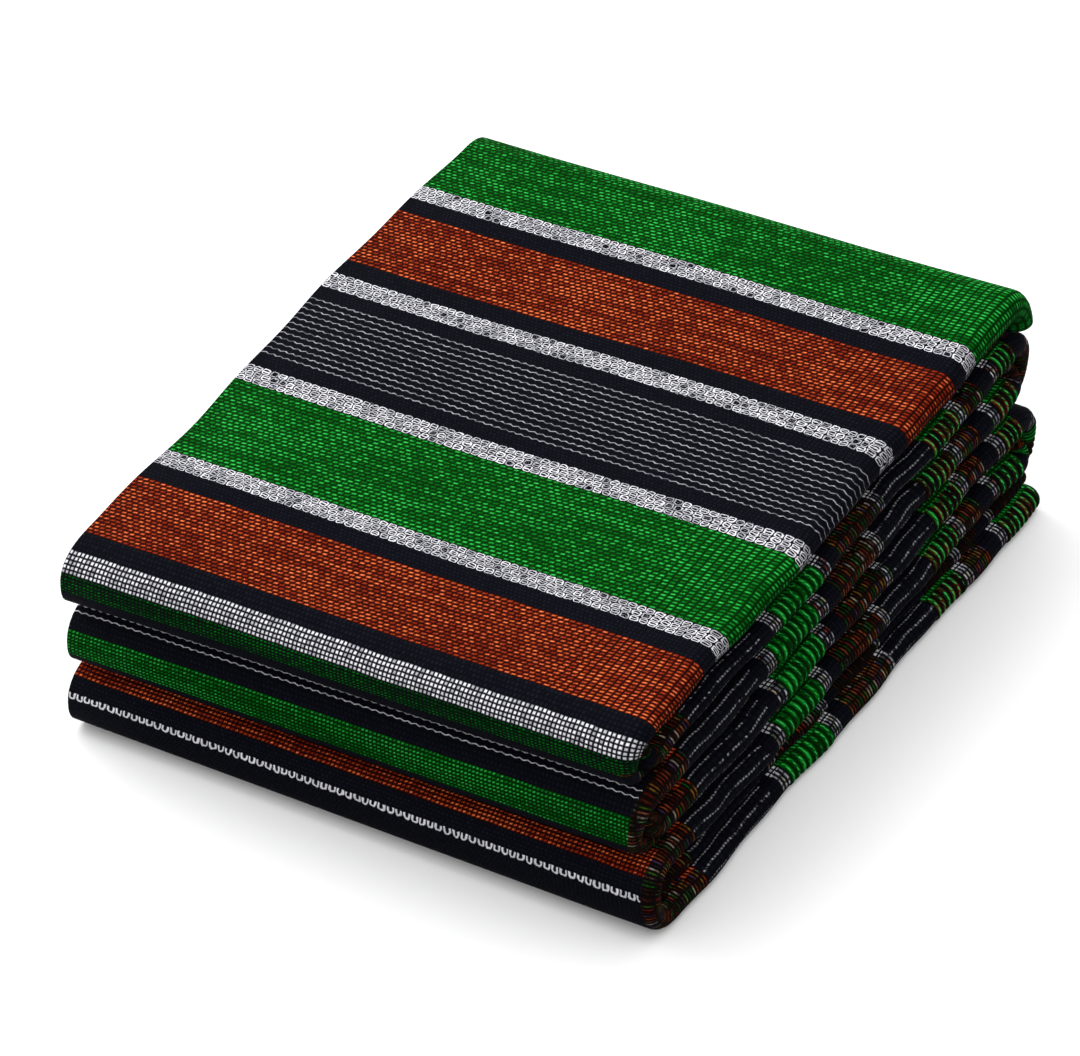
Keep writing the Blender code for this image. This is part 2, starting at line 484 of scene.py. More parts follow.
def across(station):
    """The points across the packet at a station: x, and the height off the route's line."""
    even, looped = layer_heights(station)
    first_is_big = first_loop_share(station.passes)
    outer = WIDTH / 2.0 - SHEET / 2.0 - setback(LOOP_WAVES, station.length)
    tips = (
        outer - SMALL_LOOP_SETBACK * (1.0 - first_is_big),
        outer - SMALL_LOOP_SETBACK * first_is_big,
    )
    centres = (tips[0] - (looped[0] - looped[1]) / 2.0, tips[1] - (looped[2] - looped[3]) / 2.0)
    edge = -WIDTH / 2.0 + setback(EDGE_WAVES, station.length)
    left_tip = edge + LEFT_LOOP_SETBACK + SHEET / 2.0
    left_centre = left_tip + (even[1] - even[2]) / 2.0
    starts = (edge, left_centre, left_centre, edge)

    def layer(number):
        """The points of one layer, from the left to where its loop at the right starts."""
        xs = (starts[number], *LAYER_LINES[number], centres[number // 2])
        return [(x, mix(even[number], looped[number], ease(LOOPS_START, LOOPS_END, x))) for x in xs]

    return [
        *layer(0),
        *loop(tips[0], looped[0], looped[1], 1.0, LOOP_STEPS),
        *reversed(layer(1)),
        *loop(left_tip, even[1], even[2], -1.0, LEFT_LOOP_STEPS),
        *layer(2),
        *loop(tips[1], looped[2], looped[3], 1.0, LOOP_STEPS),
        *reversed(layer(3)),
    ]


def zones():
    """What each step across the packet belongs to, in the order of across."""
    layers = [["layer"] * (len(lines) + 1) for lines in LAYER_LINES]
    return [
        *layers[0],
        *["first loop"] * LOOP_STEPS,
        *layers[1],
        *["left loop"] * LEFT_LOOP_STEPS,
        *layers[2],
        *["last loop"] * LOOP_STEPS,
        *layers[3],
    ]


def pass_bands(run, shift):
    """The ends of the stripes of a straight pass, in the order in which the cloth runs."""
    low, high = sorted((run[0].y, run[-1].y))
    ends = [min(max(stripe.end - DEPTH / 2.0 + shift, low), high) for stripe in PASS_STRIPES]
    starts = [low, *ends[:-1]]
    bands = []
    for stripe, start, end in zip(PASS_STRIPES, starts, ends):
        if end > start + THINNEST_STRIPE:
            bands.append((stripe.yarn, start, end))
    if run[-1].y < run[0].y:
        bands = [(yarn, end, start) for yarn, start, end in reversed(bands)]
    return [(yarn, run[0].length + abs(end - run[0].y)) for yarn, _, end in bands]


def all_bands(stations):
    """Every stripe of the cloth in order, from its top end to its lower end."""
    ends = [(stripe.yarn, stripe.end) for stripe in TOP_STRIPES]
    for number in range(1, PASSES):
        run = [station for station in stations if station.passes == number]
        ends[-1:] = [(ends[-1][0], run[0].length)]
        ends += pass_bands(run, PASS_SHIFTS[number])
        if number < len(FOLDS):
            fold_end = min(station.length for station in stations if station.passes == number + 1)
            for stripe in FOLD_STRIPES[number]:
                ends.append((stripe.yarn, mix(run[-1].length, fold_end, stripe.end)))
    bands = []
    start = 0.0
    for yarn, end in ends:
        middle = stations_at(stations, [(start + end) / 2.0])[0]
        bands.append(Band(yarn, start, end, FOLD_STRETCH if middle.out_y else 1.0))
        start = end
    return bands


def mesh_rows(bands):
    """Lengths of the mesh's rows, which rows go right across, how far a rib stands out, and the spans.

    The yarn stands out in ribs only below the top pass and its front fold.
    """
    lengths, coarse, ribs, spans = [0.0], [True], [0.0], []
    for number, band in enumerate(bands):
        size = (band.end - band.start) * band.stretch
        weave = max(1, round(size / ROW_PITCH[band.yarn]))
        ribbed = band.yarn in RIBBED and number >= len(TOP_STRIPES)
        if ribbed:
            weave = 2 * max(1, round(weave / 2.0))
        every = STEPS_PER_RIB if ribbed else 1
        count = weave // 2 * every if ribbed else max(1, round(size / SMOOTH_STEP))
        for step in range(1, count + 1):
            spans.append(Span(band.yarn, number, weave * (step - 1) / count, weave * step / count))
            lengths.append(mix(band.start, band.end, step / count))
            coarse.append(step % every == 0)
            ribs.append(abs(math.sin(math.pi * step / every)) if ribbed else 0.0)
    return lengths, coarse, ribs, spans


def caged(points):
    """Leans the points of the even bundle into its cage, as its corners say.

    What stands out above the cage keeps the stretch of its top part.
    """
    x = points[..., 0] / WIDTH + 0.5
    y = points[..., 1] / DEPTH + 0.5
    z = points[..., 2] / HEIGHT
    levels = np.linspace(0.0, 1.0, 4)
    result = np.zeros_like(points)
    for (right, back), corner in CORNERS.items():
        share = (x if right else 1.0 - x) * (y if back else 1.0 - y)
        top_stretch = (corner.heights[-1] - corner.heights[-2]) / (levels[-1] - levels[-2])
        above = np.maximum(z - 1.0, 0.0) * top_stretch
        inset_x = mix(corner.inset_x, corner.top_inset_x, z)
        inset_y = mix(corner.inset_y, corner.top_inset_y, z)
        result[..., 0] += share * (1.0 if right else -1.0) * (WIDTH / 2.0 - inset_x)
        result[..., 1] += share * (1.0 if back else -1.0) * (DEPTH / 2.0 - inset_y)
        result[..., 2] += share * (np.interp(z, levels, corner.heights) + above)
    return result


def uneven(points):
    """Adds the low swells, which grow from nothing at the bundle's foot, and the crease at one corner."""
    x, y = points[..., 0], points[..., 1]
    lift = np.clip(points[..., 2] / HEIGHT, 0.0, 1.0)
    swell = sum(s.height * np.sin(math.tau * (x / s.apart_x + y / s.apart_y)) for s in SWELLS)
    result = points.copy()
    result[..., 2] += lift * (swell - crease(x, y, lift))
    return result


def crease(x, y, lift):
    """The depth of the crease, which fades over the first and the last third of its length."""
    to_end = np.array(CREASE_END) - np.array(CREASE_START)
    span = np.linalg.norm(to_end)
    from_x, from_y = x - CREASE_START[0], y - CREASE_START[1]
    along = (from_x * to_end[0] + from_y * to_end[1]) / span**2
    off = (from_x * to_end[1] - from_y * to_end[0]) / span
    ends = np.clip(1.5 - 3.0 * np.abs(along - 0.5), 0.0, 1.0)
    above = np.clip((lift - CREASE_ABOVE) / (CREASE_FULL - CREASE_ABOVE), 0.0, 1.0)
    return CREASE_DEPTH * np.exp(-((off / CREASE_WIDTH) ** 2)) * ends * above


def normals(points):
    """The outward direction at each point of a grid laid along the cloth's outer side."""
    result = np.cross(np.gradient(points, axis=0), np.gradient(points, axis=1))
    return result / np.linalg.norm(result, axis=2, keepdims=True)


def widths_across(points, passes):
    """How far across the sheet each point is: as in the middle of its pass, and mixed over a fold."""
    steps = np.linalg.norm(np.diff(points, axis=1), axis=2)
    measured = np.concatenate([np.zeros((len(points), 1)), np.cumsum(steps, axis=1)], axis=1)
    known = []
    for number in range(PASSES):
        rows = [row for row, value in enumerate(passes) if value == number]
        known.append(measured[rows[len(rows) // 2]])
    known.append(known[-1])
    result = [mix(known[int(value)], known[int(value) + 1], value % 1.0) for value in passes]
    return np.array(result)


class Sheet:
    """Collects the corners and faces of the closed sheet, with the two maps that its materials read."""

    def __init__(self, sides, widths, lengths):
        self.sides, self.widths, self.lengths = sides, widths, lengths
        self.numbers, self.vertices, self.faces, self.yarns = {}, [], [], []
        self.weave, self.bands = [], []

    def face(self, corners, yarn, span, first_row):
        """Adds a face: each corner is a side, a row and a column, and first_row is the span's first row."""
        face = []
        start, end = self.lengths[first_row : first_row + 2]
        for side, row, column in corners:
            key = side, row, column
            if key not in self.numbers:
                self.numbers[key] = len(self.vertices)
                self.vertices.append(self.sides[side][row, column])
            face.append(self.numbers[key])
            share = (self.lengths[row] - start) / (end - start)
            self.weave.append((self.widths[row, column], self.lengths[row]))
            self.bands.append((mix(span.weave_start, span.weave_end, share), span.band))
        self.faces.append(face)
        self.yarns.append(yarn)


def shown_yarn(span, zone, passes):
    """The yarn that shows at a step across the packet: most of the loops at the right have their own."""
    if zone in RIGHT_LOOPS:
        big = (first_loop_share(passes) > 0.5) == (zone == "first loop")
        front_fold = passes % 1.0 > 0.0 and passes % 2.0 < 1.0
        if front_fold and passes > LOWER_FULL:
            return "mixed cord"
        if not big:
            return SMALL_LOOP_YARNS.get(span.yarn, span.yarn)
        if passes > LOWER_FULL:
            return BIG_LOOP_YARNS.get(span.yarn, span.yarn)
    return "green" if span.yarn == "green mix" else span.yarn


def fine_lines(zone):
    """Which lines of the mesh run along the loops at the right, whose outer side is fine."""
    fine = [False] * (len(zone) + 1)
    for step, name in enumerate(zone):
        if name in RIGHT_LOOPS:
            fine[step] = fine[step + 1] = True
    return fine


def sheet_grid(places, ribs, fine):
    """The points of the sheet's outer and inner side by row and line, and how far across each is."""
    middle = [[(x, s.y + s.out_y * h, s.z + s.out_z * h) for x, h in across(s)] for s in places]
    middle = np.array(middle)
    passes = np.array([place.passes for place in places])
    lower = np.clip((passes - LOWER_START) / (LOWER_FULL - LOWER_START), 0.0, 1.0)
    raised = RIB_HEIGHT * (np.array(ribs) - RIB_SUNK) * lower
    raised = raised[:, None] * np.array(fine)[None, :]
    out = normals(middle)
    outer = uneven(caged(middle + out * (SHEET / 2.0 + raised)[..., None]))
    inner = uneven(caged(middle - out * (SHEET / 2.0)))
    return (outer, inner), widths_across(middle, [float(value) for value in passes])


def outer_faces(sheet, rows, step, fine, yarn, spans):
    """Adds a step of the outer side between two rows: row by row where it is fine, or as one face."""
    top, bottom = rows
    left, right = step, step + 1
    if fine[left] and fine[right]:
        for row in range(top, bottom):
            corners = [(0, row, left), (0, row + 1, left), (0, row + 1, right), (0, row, right)]
            sheet.face(corners, yarn, spans[row], row)
        return
    inside = range(top + 1, bottom)
    down = [(0, row, left) for row in inside if fine[left]]
    up = [(0, row, right) for row in reversed(inside) if fine[right]]
    corners = [(0, top, left), *down, (0, bottom, left), (0, bottom, right), *up, (0, top, right)]
    sheet.face(corners, yarn, spans[top], top)


def side_edges(sheet, rows, last, yarn, span):
    """Closes the sheet between two rows along its two long edges."""
    top, bottom = rows
    sheet.face([(0, top, 0), (1, top, 0), (1, bottom, 0), (0, bottom, 0)], yarn, span, top)
    corners = [(0, top, last), (0, bottom, last), (1, bottom, last), (1, top, last)]
    sheet.face(corners, yarn, span, top)


def end_edges(sheet, steps, last, spans):
    """Closes the sheet along its two short edges."""
    for step in range(steps):
        corners = [(0, 0, step), (0, 0, step + 1), (1, 0, step + 1), (1, 0, step)]
        sheet.face(corners, "green", spans[0], 0)
        corners = [(0, last, step), (1, last, step), (1, last, step + 1), (0, last, step + 1)]
        sheet.face(corners, "green", spans[-1], last - 1)


def sheet_faces():
    """The whole cloth as one closed sheet; its outer side is fine round the loops at the right."""
    stations = route()
    lengths, coarse, ribs, spans = mesh_rows(all_bands(stations))
    places = stations_at(stations, lengths)
    zone = zones()
    fine = fine_lines(zone)
    sides, widths = sheet_grid(places, ribs, fine)
    sheet = Sheet(sides, widths, lengths)
    across_rows = [row for row in range(len(lengths)) if coarse[row]]
    for top, bottom in zip(across_rows, across_rows[1:]):
        span = spans[top]
        passes = (places[top].passes + places[bottom].passes) / 2.0
        for step, name in enumerate(zone):
            yarn = shown_yarn(span, name, passes)
            outer_faces(sheet, (top, bottom), step, fine, yarn, spans)
            corners = [(1, top, step), (1, top, step + 1), (1, bottom, step + 1), (1, bottom, step)]
            sheet.face(corners, yarn, span, top)
        side_edges(sheet, (top, bottom), len(zone), shown_yarn(span, "edge", passes), span)
    end_edges(sheet, len(zone), len(lengths) - 1, spans)
    return sheet


def cloth(materials):
    """The cloth as an object with its materials and maps."""
    sheet = sheet_faces()
    mesh = bpy.data.meshes.new("woven_cloth")
    mesh.from_pydata(sheet.vertices, [], sheet.faces)
    for name, values in (("weave", sheet.weave), ("band", sheet.bands)):
        layer = mesh.uv_layers.new(name=name)
        layer.data.foreach_set("uv", np.array(values, dtype=np.float32).ravel())
    names = list(materials)
    for name in names:
        mesh.materials.append(materials[name])
    mesh.polygons.foreach_set("material_index", [names.index(yarn) for yarn in sheet.yarns])
    mesh.shade_smooth()
    piece = bpy.data.objects.new("woven_cloth", mesh)
    bpy.context.scene.collection.objects.link(piece)
    return piece


class Nodes:
    """A material and short ways to add the nodes that a weave is made of."""

    def __init__(self, name, roughness=0.8):
        self.material = bpy.data.materials.new(name)
        self.material.use_nodes = True
        self.tree = self.material.node_tree
        self.shader = self.tree.nodes["Principled BSDF"]
        self.shader.inputs["Roughness"].default_value = roughness
        self.shader.inputs["Specular IOR Level"].default_value = 0.02
        self.maps = {}

    def put(self, socket, value):
        """Links a socket to another one, or sets its value."""
        if isinstance(value, bpy.types.NodeSocket):
            self.tree.links.new(value, socket)
        elif isinstance(value, tuple) and len(value) == 3 and socket.type == "RGBA":
            socket.default_value = (*value, 1.0)
        else:
            socket.default_value = value

    def math(self, operation, *values):
        """The result of a calculation on numbers or sockets."""
        node = self.tree.nodes.new("ShaderNodeMath")
        node.operation = operation
        for socket, value in zip(node.inputs, values):
            self.put(socket, value)
        return node.outputs[0]

    def plus(self, *values):
        """The sum of numbers or sockets."""
        total = values[0]
        for value in values[1:]:
            total = self.math("ADD", total, value)
        return total

    def times(self, *values):
        """The product of numbers or sockets."""
        total = values[0]
        for value in values[1:]:
            total = self.math("MULTIPLY", total, value)
        return total

    def near(self, value, full, none):
        """1 where the size of value is up to full, fading to 0 where it is none or more."""
        node = self.tree.nodes.new("ShaderNodeMapRange")
        node.interpolation_type = "SMOOTHSTEP"
        self.put(node.inputs["Value"], self.math("ABSOLUTE", value))
        node.inputs["From Min"].default_value = full
        node.inputs["From Max"].default_value = none
        node.inputs["To Min"].default_value = 1.0
        node.inputs["To Max"].default_value = 0.0
        return node.outputs["Result"]

    def over(self, value, low, high):
        """0 where value is up to low, rising to 1 at high."""
        node = self.tree.nodes.new("ShaderNodeMapRange")
        node.interpolation_type = "SMOOTHSTEP"
        self.put(node.inputs["Value"], value)
        node.inputs["From Min"].default_value = low
        node.inputs["From Max"].default_value = high
        return node.outputs["Result"]

    def map(self, name):
        """The two numbers that one of the cloth's maps gives."""
        if name not in self.maps:
            node = self.tree.nodes.new("ShaderNodeUVMap")
            node.uv_map = name
            parts = self.tree.nodes.new("ShaderNodeSeparateXYZ")
            self.tree.links.new(node.outputs["UV"], parts.inputs["Vector"])
            self.maps[name] = parts.outputs["X"], parts.outputs["Y"]
        return self.maps[name]

    def vector(self, *values):
        """Up to three numbers or sockets as one vector."""
        node = self.tree.nodes.new("ShaderNodeCombineXYZ")
        for socket, value in zip(node.inputs, values):
            self.put(socket, value)
        return node.outputs["Vector"]

    def luck(self, *values):
        """A steady random number from 0 to 1 for up to three whole numbers."""
        node = self.tree.nodes.new("ShaderNodeTexWhiteNoise")
        node.noise_dimensions = "3D"
        self.put(node.inputs["Vector"], self.vector(*values))
        return node.outputs["Value"]

    def drift(self, along_scale, down_scale, seed=0.0):
        """Smooth unevenness over the cloth, from about -0.5 to 0.5."""
        width, length = self.map("weave")
        node = self.tree.nodes.new("ShaderNodeTexNoise")
        node.noise_dimensions = "3D"
        node.inputs["Scale"].default_value = 1.0
        node.inputs["Detail"].default_value = 1.0
        place = self.vector(self.times(width, along_scale), self.times(length, down_scale), seed)
        self.put(node.inputs["Vector"], place)
        return self.plus(node.outputs["Fac"], -0.5)

    def blend(self, share, first, second):
        """The colour at a share of the way from the first to the second."""
        node = self.tree.nodes.new("ShaderNodeMix")
        node.data_type = "RGBA"
        self.put(node.inputs[0], share)
        self.put(node.inputs[6], first)
        self.put(node.inputs[7], second)
        return node.outputs[2]

    def choice(self, value, colours):
        """One of several colours, by a number from 0 to 1."""
        node = self.tree.nodes.new("ShaderNodeValToRGB")
        node.color_ramp.interpolation = "CONSTANT"
        steps = node.color_ramp.elements
        for number, colour in enumerate(colours[2:]):
            steps.new((number + 2) / len(colours))
        for number, colour in enumerate(colours):
            steps[number].position = number / len(colours)
            steps[number].color = (*colour, 1.0)
        self.put(node.inputs["Fac"], value)
        return node.outputs["Color"]

    def finish(self, colour, height, depth):
        """Gives the shader its colour and its relief, whose depth is in metres."""
        self.put(self.shader.inputs["Base Color"], colour)
        bump = self.tree.nodes.new("ShaderNodeBump")
        bump.inputs["Strength"].default_value = 1.0
        bump.inputs["Distance"].default_value = depth
        self.put(bump.inputs["Height"], height)
        self.put(self.shader.inputs["Normal"], bump.outputs["Normal"])
        return self.material


def cells(nodes, cell, stagger, wander, rows_per_cell=1.0):
    """Splits the weave into cells: the place along and down in one, its column and row, and its luck.

    Both places run from -0.5 to 0.5, so a width that a material gives to near is a share of a cell.
    """
    width, _ = nodes.map("weave")
    weave, band = nodes.map("band")
    rows = nodes.plus(nodes.times(weave, 1.0 / rows_per_cell), nodes.times(nodes.drift(55.0, 55.0), wander))
    row = nodes.math("FLOOR", rows)
    down = nodes.plus(nodes.math("FRACT", rows), -0.5)
    ended = nodes.times(nodes.over(width, SLIP_FADES, SLIP_ENDS), -1.0)
    loose = nodes.times(nodes.plus(1.0, ended), stagger)
    slip = nodes.times(nodes.luck(row, band, 3.0), loose, ROW_SLIP)
    odd = nodes.times(nodes.math("MODULO", nodes.math("ABSOLUTE", row), 2.0), loose)
    sway = nodes.times(nodes.drift(60.0, 60.0, 7.0), 0.5)
    place = nodes.plus(nodes.times(width, 1.0 / cell), odd, slip, sway)
    column = nodes.math("FLOOR", place)
    along = nodes.plus(nodes.math("FRACT", place), -0.5)
    luck = nodes.luck(column, row, band)
    return along, down, column, row, luck


def dash_material(name, colours, cell, stagger):
    """Plain weave with short floats of coloured yarn on a dark ground, with a painted highlight in the
    middle of some floats.
    """
    ground, dull, bright, pale = colours
    nodes = Nodes(name)
    along, down, _, _, luck = cells(nodes, cell, stagger, 0.5)
    fibre = nodes.drift(1100.0, 900.0, 5.0)
    slant = nodes.plus(down, nodes.times(along, 0.22), nodes.times(fibre, 0.25))
    body = nodes.times(nodes.near(along, 0.22, 0.49), nodes.near(slant, 0.08, 0.44))
    lit_core = nodes.times(nodes.near(along, 0.08, 0.40), nodes.near(slant, 0.02, 0.26))
    streak = nodes.drift(14.0, 240.0, 3.0)
    tone = nodes.plus(nodes.times(luck, 0.70), nodes.times(streak, 1.5), nodes.times(fibre, 1.2), 0.08)
    yarn = nodes.blend(nodes.over(tone, 0.0, 0.9), dull, bright)
    # The pale colour laid on the middle of the floats is a painted highlight.
    shine = nodes.times(lit_core, nodes.over(tone, 0.25, 0.85))
    colour = nodes.blend(body, ground, nodes.blend(nodes.times(shine, 0.8), yarn, pale))
    return nodes.finish(colour, nodes.plus(body, nodes.times(lit_core, 0.4)), RELIEF)


def tangle(nodes, along, down, size):
    """Bends a cell's places a little, so that no two loops of yarn look the same."""
    bent_along = nodes.plus(along, nodes.times(nodes.drift(420.0, 420.0, 11.0), size))
    bent_down = nodes.plus(down, nodes.times(nodes.drift(420.0, 420.0, 17.0), size))
    return bent_along, bent_down


def ring_material(name, cell):
    """White rings and bars of yarn on black, in staggered rows that are partly tangled."""
    nodes = Nodes(name)
    along, down, _, _, luck = cells(nodes, cell, 0.5, 0.3)
    along, down = tangle(nodes, along, down, 0.45)
    sides = [nodes.math("POWER", nodes.times(place, 2.1), 4.0) for place in (along, down)]
    far = nodes.math("POWER", nodes.plus(*sides), 0.25)
    ring = nodes.near(nodes.plus(far, -0.80), 0.08, 0.23)
    bar = nodes.times(nodes.near(down, 0.03, 0.13), nodes.near(along, 0.26, 0.44))
    bar = nodes.times(bar, nodes.over(luck, 0.05, 0.10))
    line = nodes.math("MAXIMUM", ring, bar)
    tone = nodes.plus(luck, nodes.times(nodes.drift(700.0, 700.0, 2.0), 1.5))
    yarn = nodes.blend(nodes.over(tone, -0.2, 0.9), PALE_GREY, BRIGHT_WHITE)
    return nodes.finish(nodes.blend(line, BLACK, yarn), line, DEEP_RELIEF)


def check_material(name):
    """Close white squares on black."""
    nodes = Nodes(name)
    along, down, _, _, luck = cells(nodes, THREAD_CELL, 0.0, 0.4)
    along, down = tangle(nodes, along, down, 0.25)
    square = nodes.times(nodes.near(along, 0.20, 0.42), nodes.near(down, 0.20, 0.44))
    yarn = nodes.blend(nodes.over(luck, -0.4, 0.8), GREY, BRIGHT_WHITE)
    return nodes.finish(nodes.blend(square, BLACK, yarn), square, DEEP_RELIEF)


def black_ground(nodes):
    """The faint grid of black yarn, and its height."""
    along, down, _, _, luck = cells(nodes, THREAD_CELL, 0.5, 0.3)
    body = nodes.times(nodes.near(along, 0.15, 0.5), nodes.near(down, 0.10, 0.5))
    shine = nodes.times(body, nodes.plus(nodes.times(luck, 0.8), 0.2))
    return nodes.blend(shine, BLACK, BLACK_SHINE), body


def black_material(name):
    """Plain black weave, in which the yarn hardly shows."""
    nodes = Nodes(name)
    colour, body = black_ground(nodes)
    return nodes.finish(colour, body, FAINT_RELIEF)


def line_on_black(nodes, line, yarn, depth):
    """Finishes a material in which yarn runs along a line over the black ground."""
    ground, body = black_ground(nodes)
    height = nodes.plus(nodes.times(body, 0.3), line)
    return nodes.finish(nodes.blend(line, ground, yarn), height, depth)


def zigzag(nodes, place):
    """A wave between -0.5 and 0.5 with straight flanks, once for each whole step of place."""
    return nodes.plus(nodes.times(nodes.math("PINGPONG", place, 0.5), 2.0), -0.5)


def line_material(name, dull, bright, bend):
    """One thin wavy white line in the middle of each row, on black; bend is how strongly it waves."""
    nodes = Nodes(name)
    width, _ = nodes.map("weave")
    weave, band = nodes.map("band")
    row = nodes.math("FLOOR", weave)
    down = nodes.plus(nodes.math("FRACT", weave), -0.5)
    place = nodes.plus(nodes.times(width, 1.0 / LINE_WAVE), nodes.times(nodes.drift(40.0, 300.0), 0.9))
    slow = nodes.times(nodes.drift(25.0, 25.0, 5.0), 0.20)
    off = nodes.plus(down, nodes.times(zigzag(nodes, place), bend), slow)
    line = nodes.near(off, 0.040, 0.115)
    luck = nodes.luck(nodes.math("FLOOR", nodes.times(width, 1.0 / LINE_TONE)), row, band)
    return line_on_black(nodes, line, nodes.blend(luck, dull, bright), RELIEF)


def long_line_material(name):
    """Thin broken white lines that run along the loops, on black."""
    nodes = Nodes(name)
    width, length = nodes.map("weave")
    _, band = nodes.map("band")
    wave = nodes.times(zigzag(nodes, nodes.times(length, 1.0 / LONG_LINE_WAVE)), 0.07)
    sway = nodes.times(nodes.drift(45.0, 45.0), 0.8)
    place = nodes.plus(nodes.times(width, 1.0 / LONG_LINE_APART), wave, sway)
    column = nodes.math("FLOOR", place)
    off = nodes.plus(nodes.math("FRACT", place), -0.5)
    step = nodes.times(length, 1.0 / LONG_LINE_DASH)
    luck = nodes.luck(nodes.math("FLOOR", step), column, band)
    dash = nodes.near(nodes.plus(nodes.math("FRACT", step), -0.5), 0.20, 0.46)
    shown = nodes.over(nodes.plus(luck, nodes.times(nodes.drift(30.0, 55.0, 9.0), 2.0)), 0.10, 0.50)
    line = nodes.times(nodes.near(off, 0.045, 0.115), dash, shown)
    yarn = nodes.blend(nodes.times(luck, 0.8), LINE_GREY, LINE_WHITE)
    return line_on_black(nodes, line, yarn, RELIEF)


def arch_material(name):
    """One row of white yarn bent into U shapes, on black."""
    nodes = Nodes(name)
    width, _ = nodes.map("weave")
    weave, band = nodes.map("band")
    place = nodes.plus(nodes.times(width, 1.0 / ARCH_CELL), nodes.times(nodes.drift(60.0, 20.0), 0.6))
    column = nodes.math("FLOOR", place)
    along = nodes.plus(nodes.math("FRACT", place), -0.5)
    down = nodes.plus(weave, -0.5)
    along, down = tangle(nodes, along, down, 0.40)
    low = nodes.math("MAXIMUM", nodes.plus(down, -0.04), 0.0)
    far = nodes.math("SQRT", nodes.plus(nodes.times(along, along), nodes.times(low, low)))
    arch = nodes.near(nodes.plus(far, -0.31), 0.08, 0.18)
    line = nodes.times(arch, nodes.near(nodes.plus(down, -0.05), 0.32, 0.44))
    yarn = nodes.blend(nodes.luck(column, band, 1.0), WHITE, BRIGHT_WHITE)
    return line_on_black(nodes, line, yarn, DEEP_RELIEF)


def cord_material(name, colours, ground, pale):
    """Ribs of twisted yarn round a loop, two rows of the weave to a rib, with painted highlights on their
    crests and painted shade in the grooves between them.
    """
    nodes = Nodes(name)
    _, down, column, row, luck = cells(nodes, RIB_CELL, 0.5, 0.10, 2.0)
    fibre = nodes.drift(700.0, 1100.0, 5.0)
    # The ground colour between the ribs is painted shade in the grooves.
    body = nodes.near(nodes.plus(down, nodes.times(fibre, 0.12)), 0.06, 0.40)
    width, _ = nodes.map("weave")
    twist = nodes.plus(nodes.times(down, 2.2), nodes.times(width, 1.0 / RIB_TWIST), nodes.times(fibre, 0.5))
    strand = nodes.near(nodes.plus(nodes.math("FRACT", twist), -0.5), 0.14, 0.50)
    tone = nodes.plus(nodes.times(nodes.luck(column, row, 4.0), 0.7), nodes.times(fibre, 1.6), 0.15)
    tone = nodes.times(tone, nodes.plus(nodes.times(strand, 0.75), 0.35))
    yarn = nodes.blend(nodes.over(tone, -0.2, 0.7), ground, nodes.choice(luck, colours))
    # The pale line along the crest of a rib is a painted highlight.
    crest = nodes.near(nodes.plus(down, nodes.times(fibre, 0.30)), 0.03, 0.12)
    painted_crest_highlight = nodes.times(crest, nodes.over(tone, 0.12, 0.55))
    yarn = nodes.blend(nodes.times(painted_crest_highlight, 0.85), yarn, pale)
    height = nodes.plus(nodes.times(body, 0.6), nodes.times(painted_crest_highlight, 0.2), nodes.times(strand, 0.25))
    return nodes.finish(nodes.blend(body, ground, yarn), height, RELIEF)


def mixed_material(name, colours, ground, cell):
    """Strands of many dark yarns, mixed at random, one to a row, each lighter along its middle as a painted
    highlight.
    """
    nodes = Nodes(name)
    along, down, _, _, luck = cells(nodes, cell, 0.5, 0.6)
    along, down = tangle(nodes, along, down, 0.25)
    body = nodes.times(nodes.near(along, 0.34, 0.52), nodes.near(down, 0.08, 0.40))
    lit_core = nodes.times(nodes.near(down, 0.02, 0.20), nodes.near(along, 0.10, 0.45))
    fibre = nodes.plus(nodes.drift(900.0, 1100.0, 5.0), 0.5)
    # The middle of each strand is made lighter than its edges: a painted highlight.
    tone = nodes.times(nodes.over(fibre, 0.20, 0.75), nodes.plus(nodes.times(lit_core, 1.3), 0.5))
    yarn = nodes.blend(tone, ground, nodes.choice(luck, colours))
    return nodes.finish(nodes.blend(body, ground, yarn), nodes.plus(body, nodes.times(lit_core, 0.3)), RELIEF)


def all_materials():
    """The materials by the names of the yarns, with the sizes of their cells and how far rows stagger."""
    return {
        "green": dash_material("green_yarn", GREEN_YARN, 0.0031, 0.5),
        "rust": dash_material("rust_yarn", RUST_YARN, 0.0029, 0.5),
        "green grid": dash_material("green_grid", GREEN_YARN, 0.0018, 0.0),
        # A darker copy of the green grid, for painted shade under the top pass's front fold
        "deep green grid": dash_material("green_grid_in_painted_shade", GREEN_YARN_IN_PAINTED_SHADE, 0.0018, 0.0),
        "rust grid": dash_material("rust_grid", RUST_YARN, 0.0020, 0.0),
        "mixed": mixed_material("mixed_yarn", MIXED, DARK[1], 0.0024),
        "black": black_material("black_yarn"),
        "rings": ring_material("white_rings", 0.0041),
        "checks": check_material("white_checks"),
        "lines": line_material("white_lines", LINE_GREY, LINE_WHITE, 0.21),
        "bright lines": line_material("bright_white_lines", PALE_GREY, BRIGHT_WHITE, 0.19),
        "long lines": long_line_material("white_long_lines"),
        "arches": arch_material("white_arches"),
        "tangle": mixed_material("white_tangle", TANGLED, BLACK, 0.0026),
        "green cord": cord_material("green_cord", (GREEN_DULL, GREEN_BRIGHT), GREEN_GROUND, GREEN_PAINTED_HIGHLIGHT),
        "green mixed cord": cord_material("green_mixed_cord", GREEN_MIXED, DARK[1], GREEN_PAINTED_HIGHLIGHT),
        "mixed cord": mixed_material("mixed_cord", MIXED, DARK[1], 0.0045),
        "dark cord": mixed_material("dark_cord", DARK, DARK[1], 0.0040),
    }


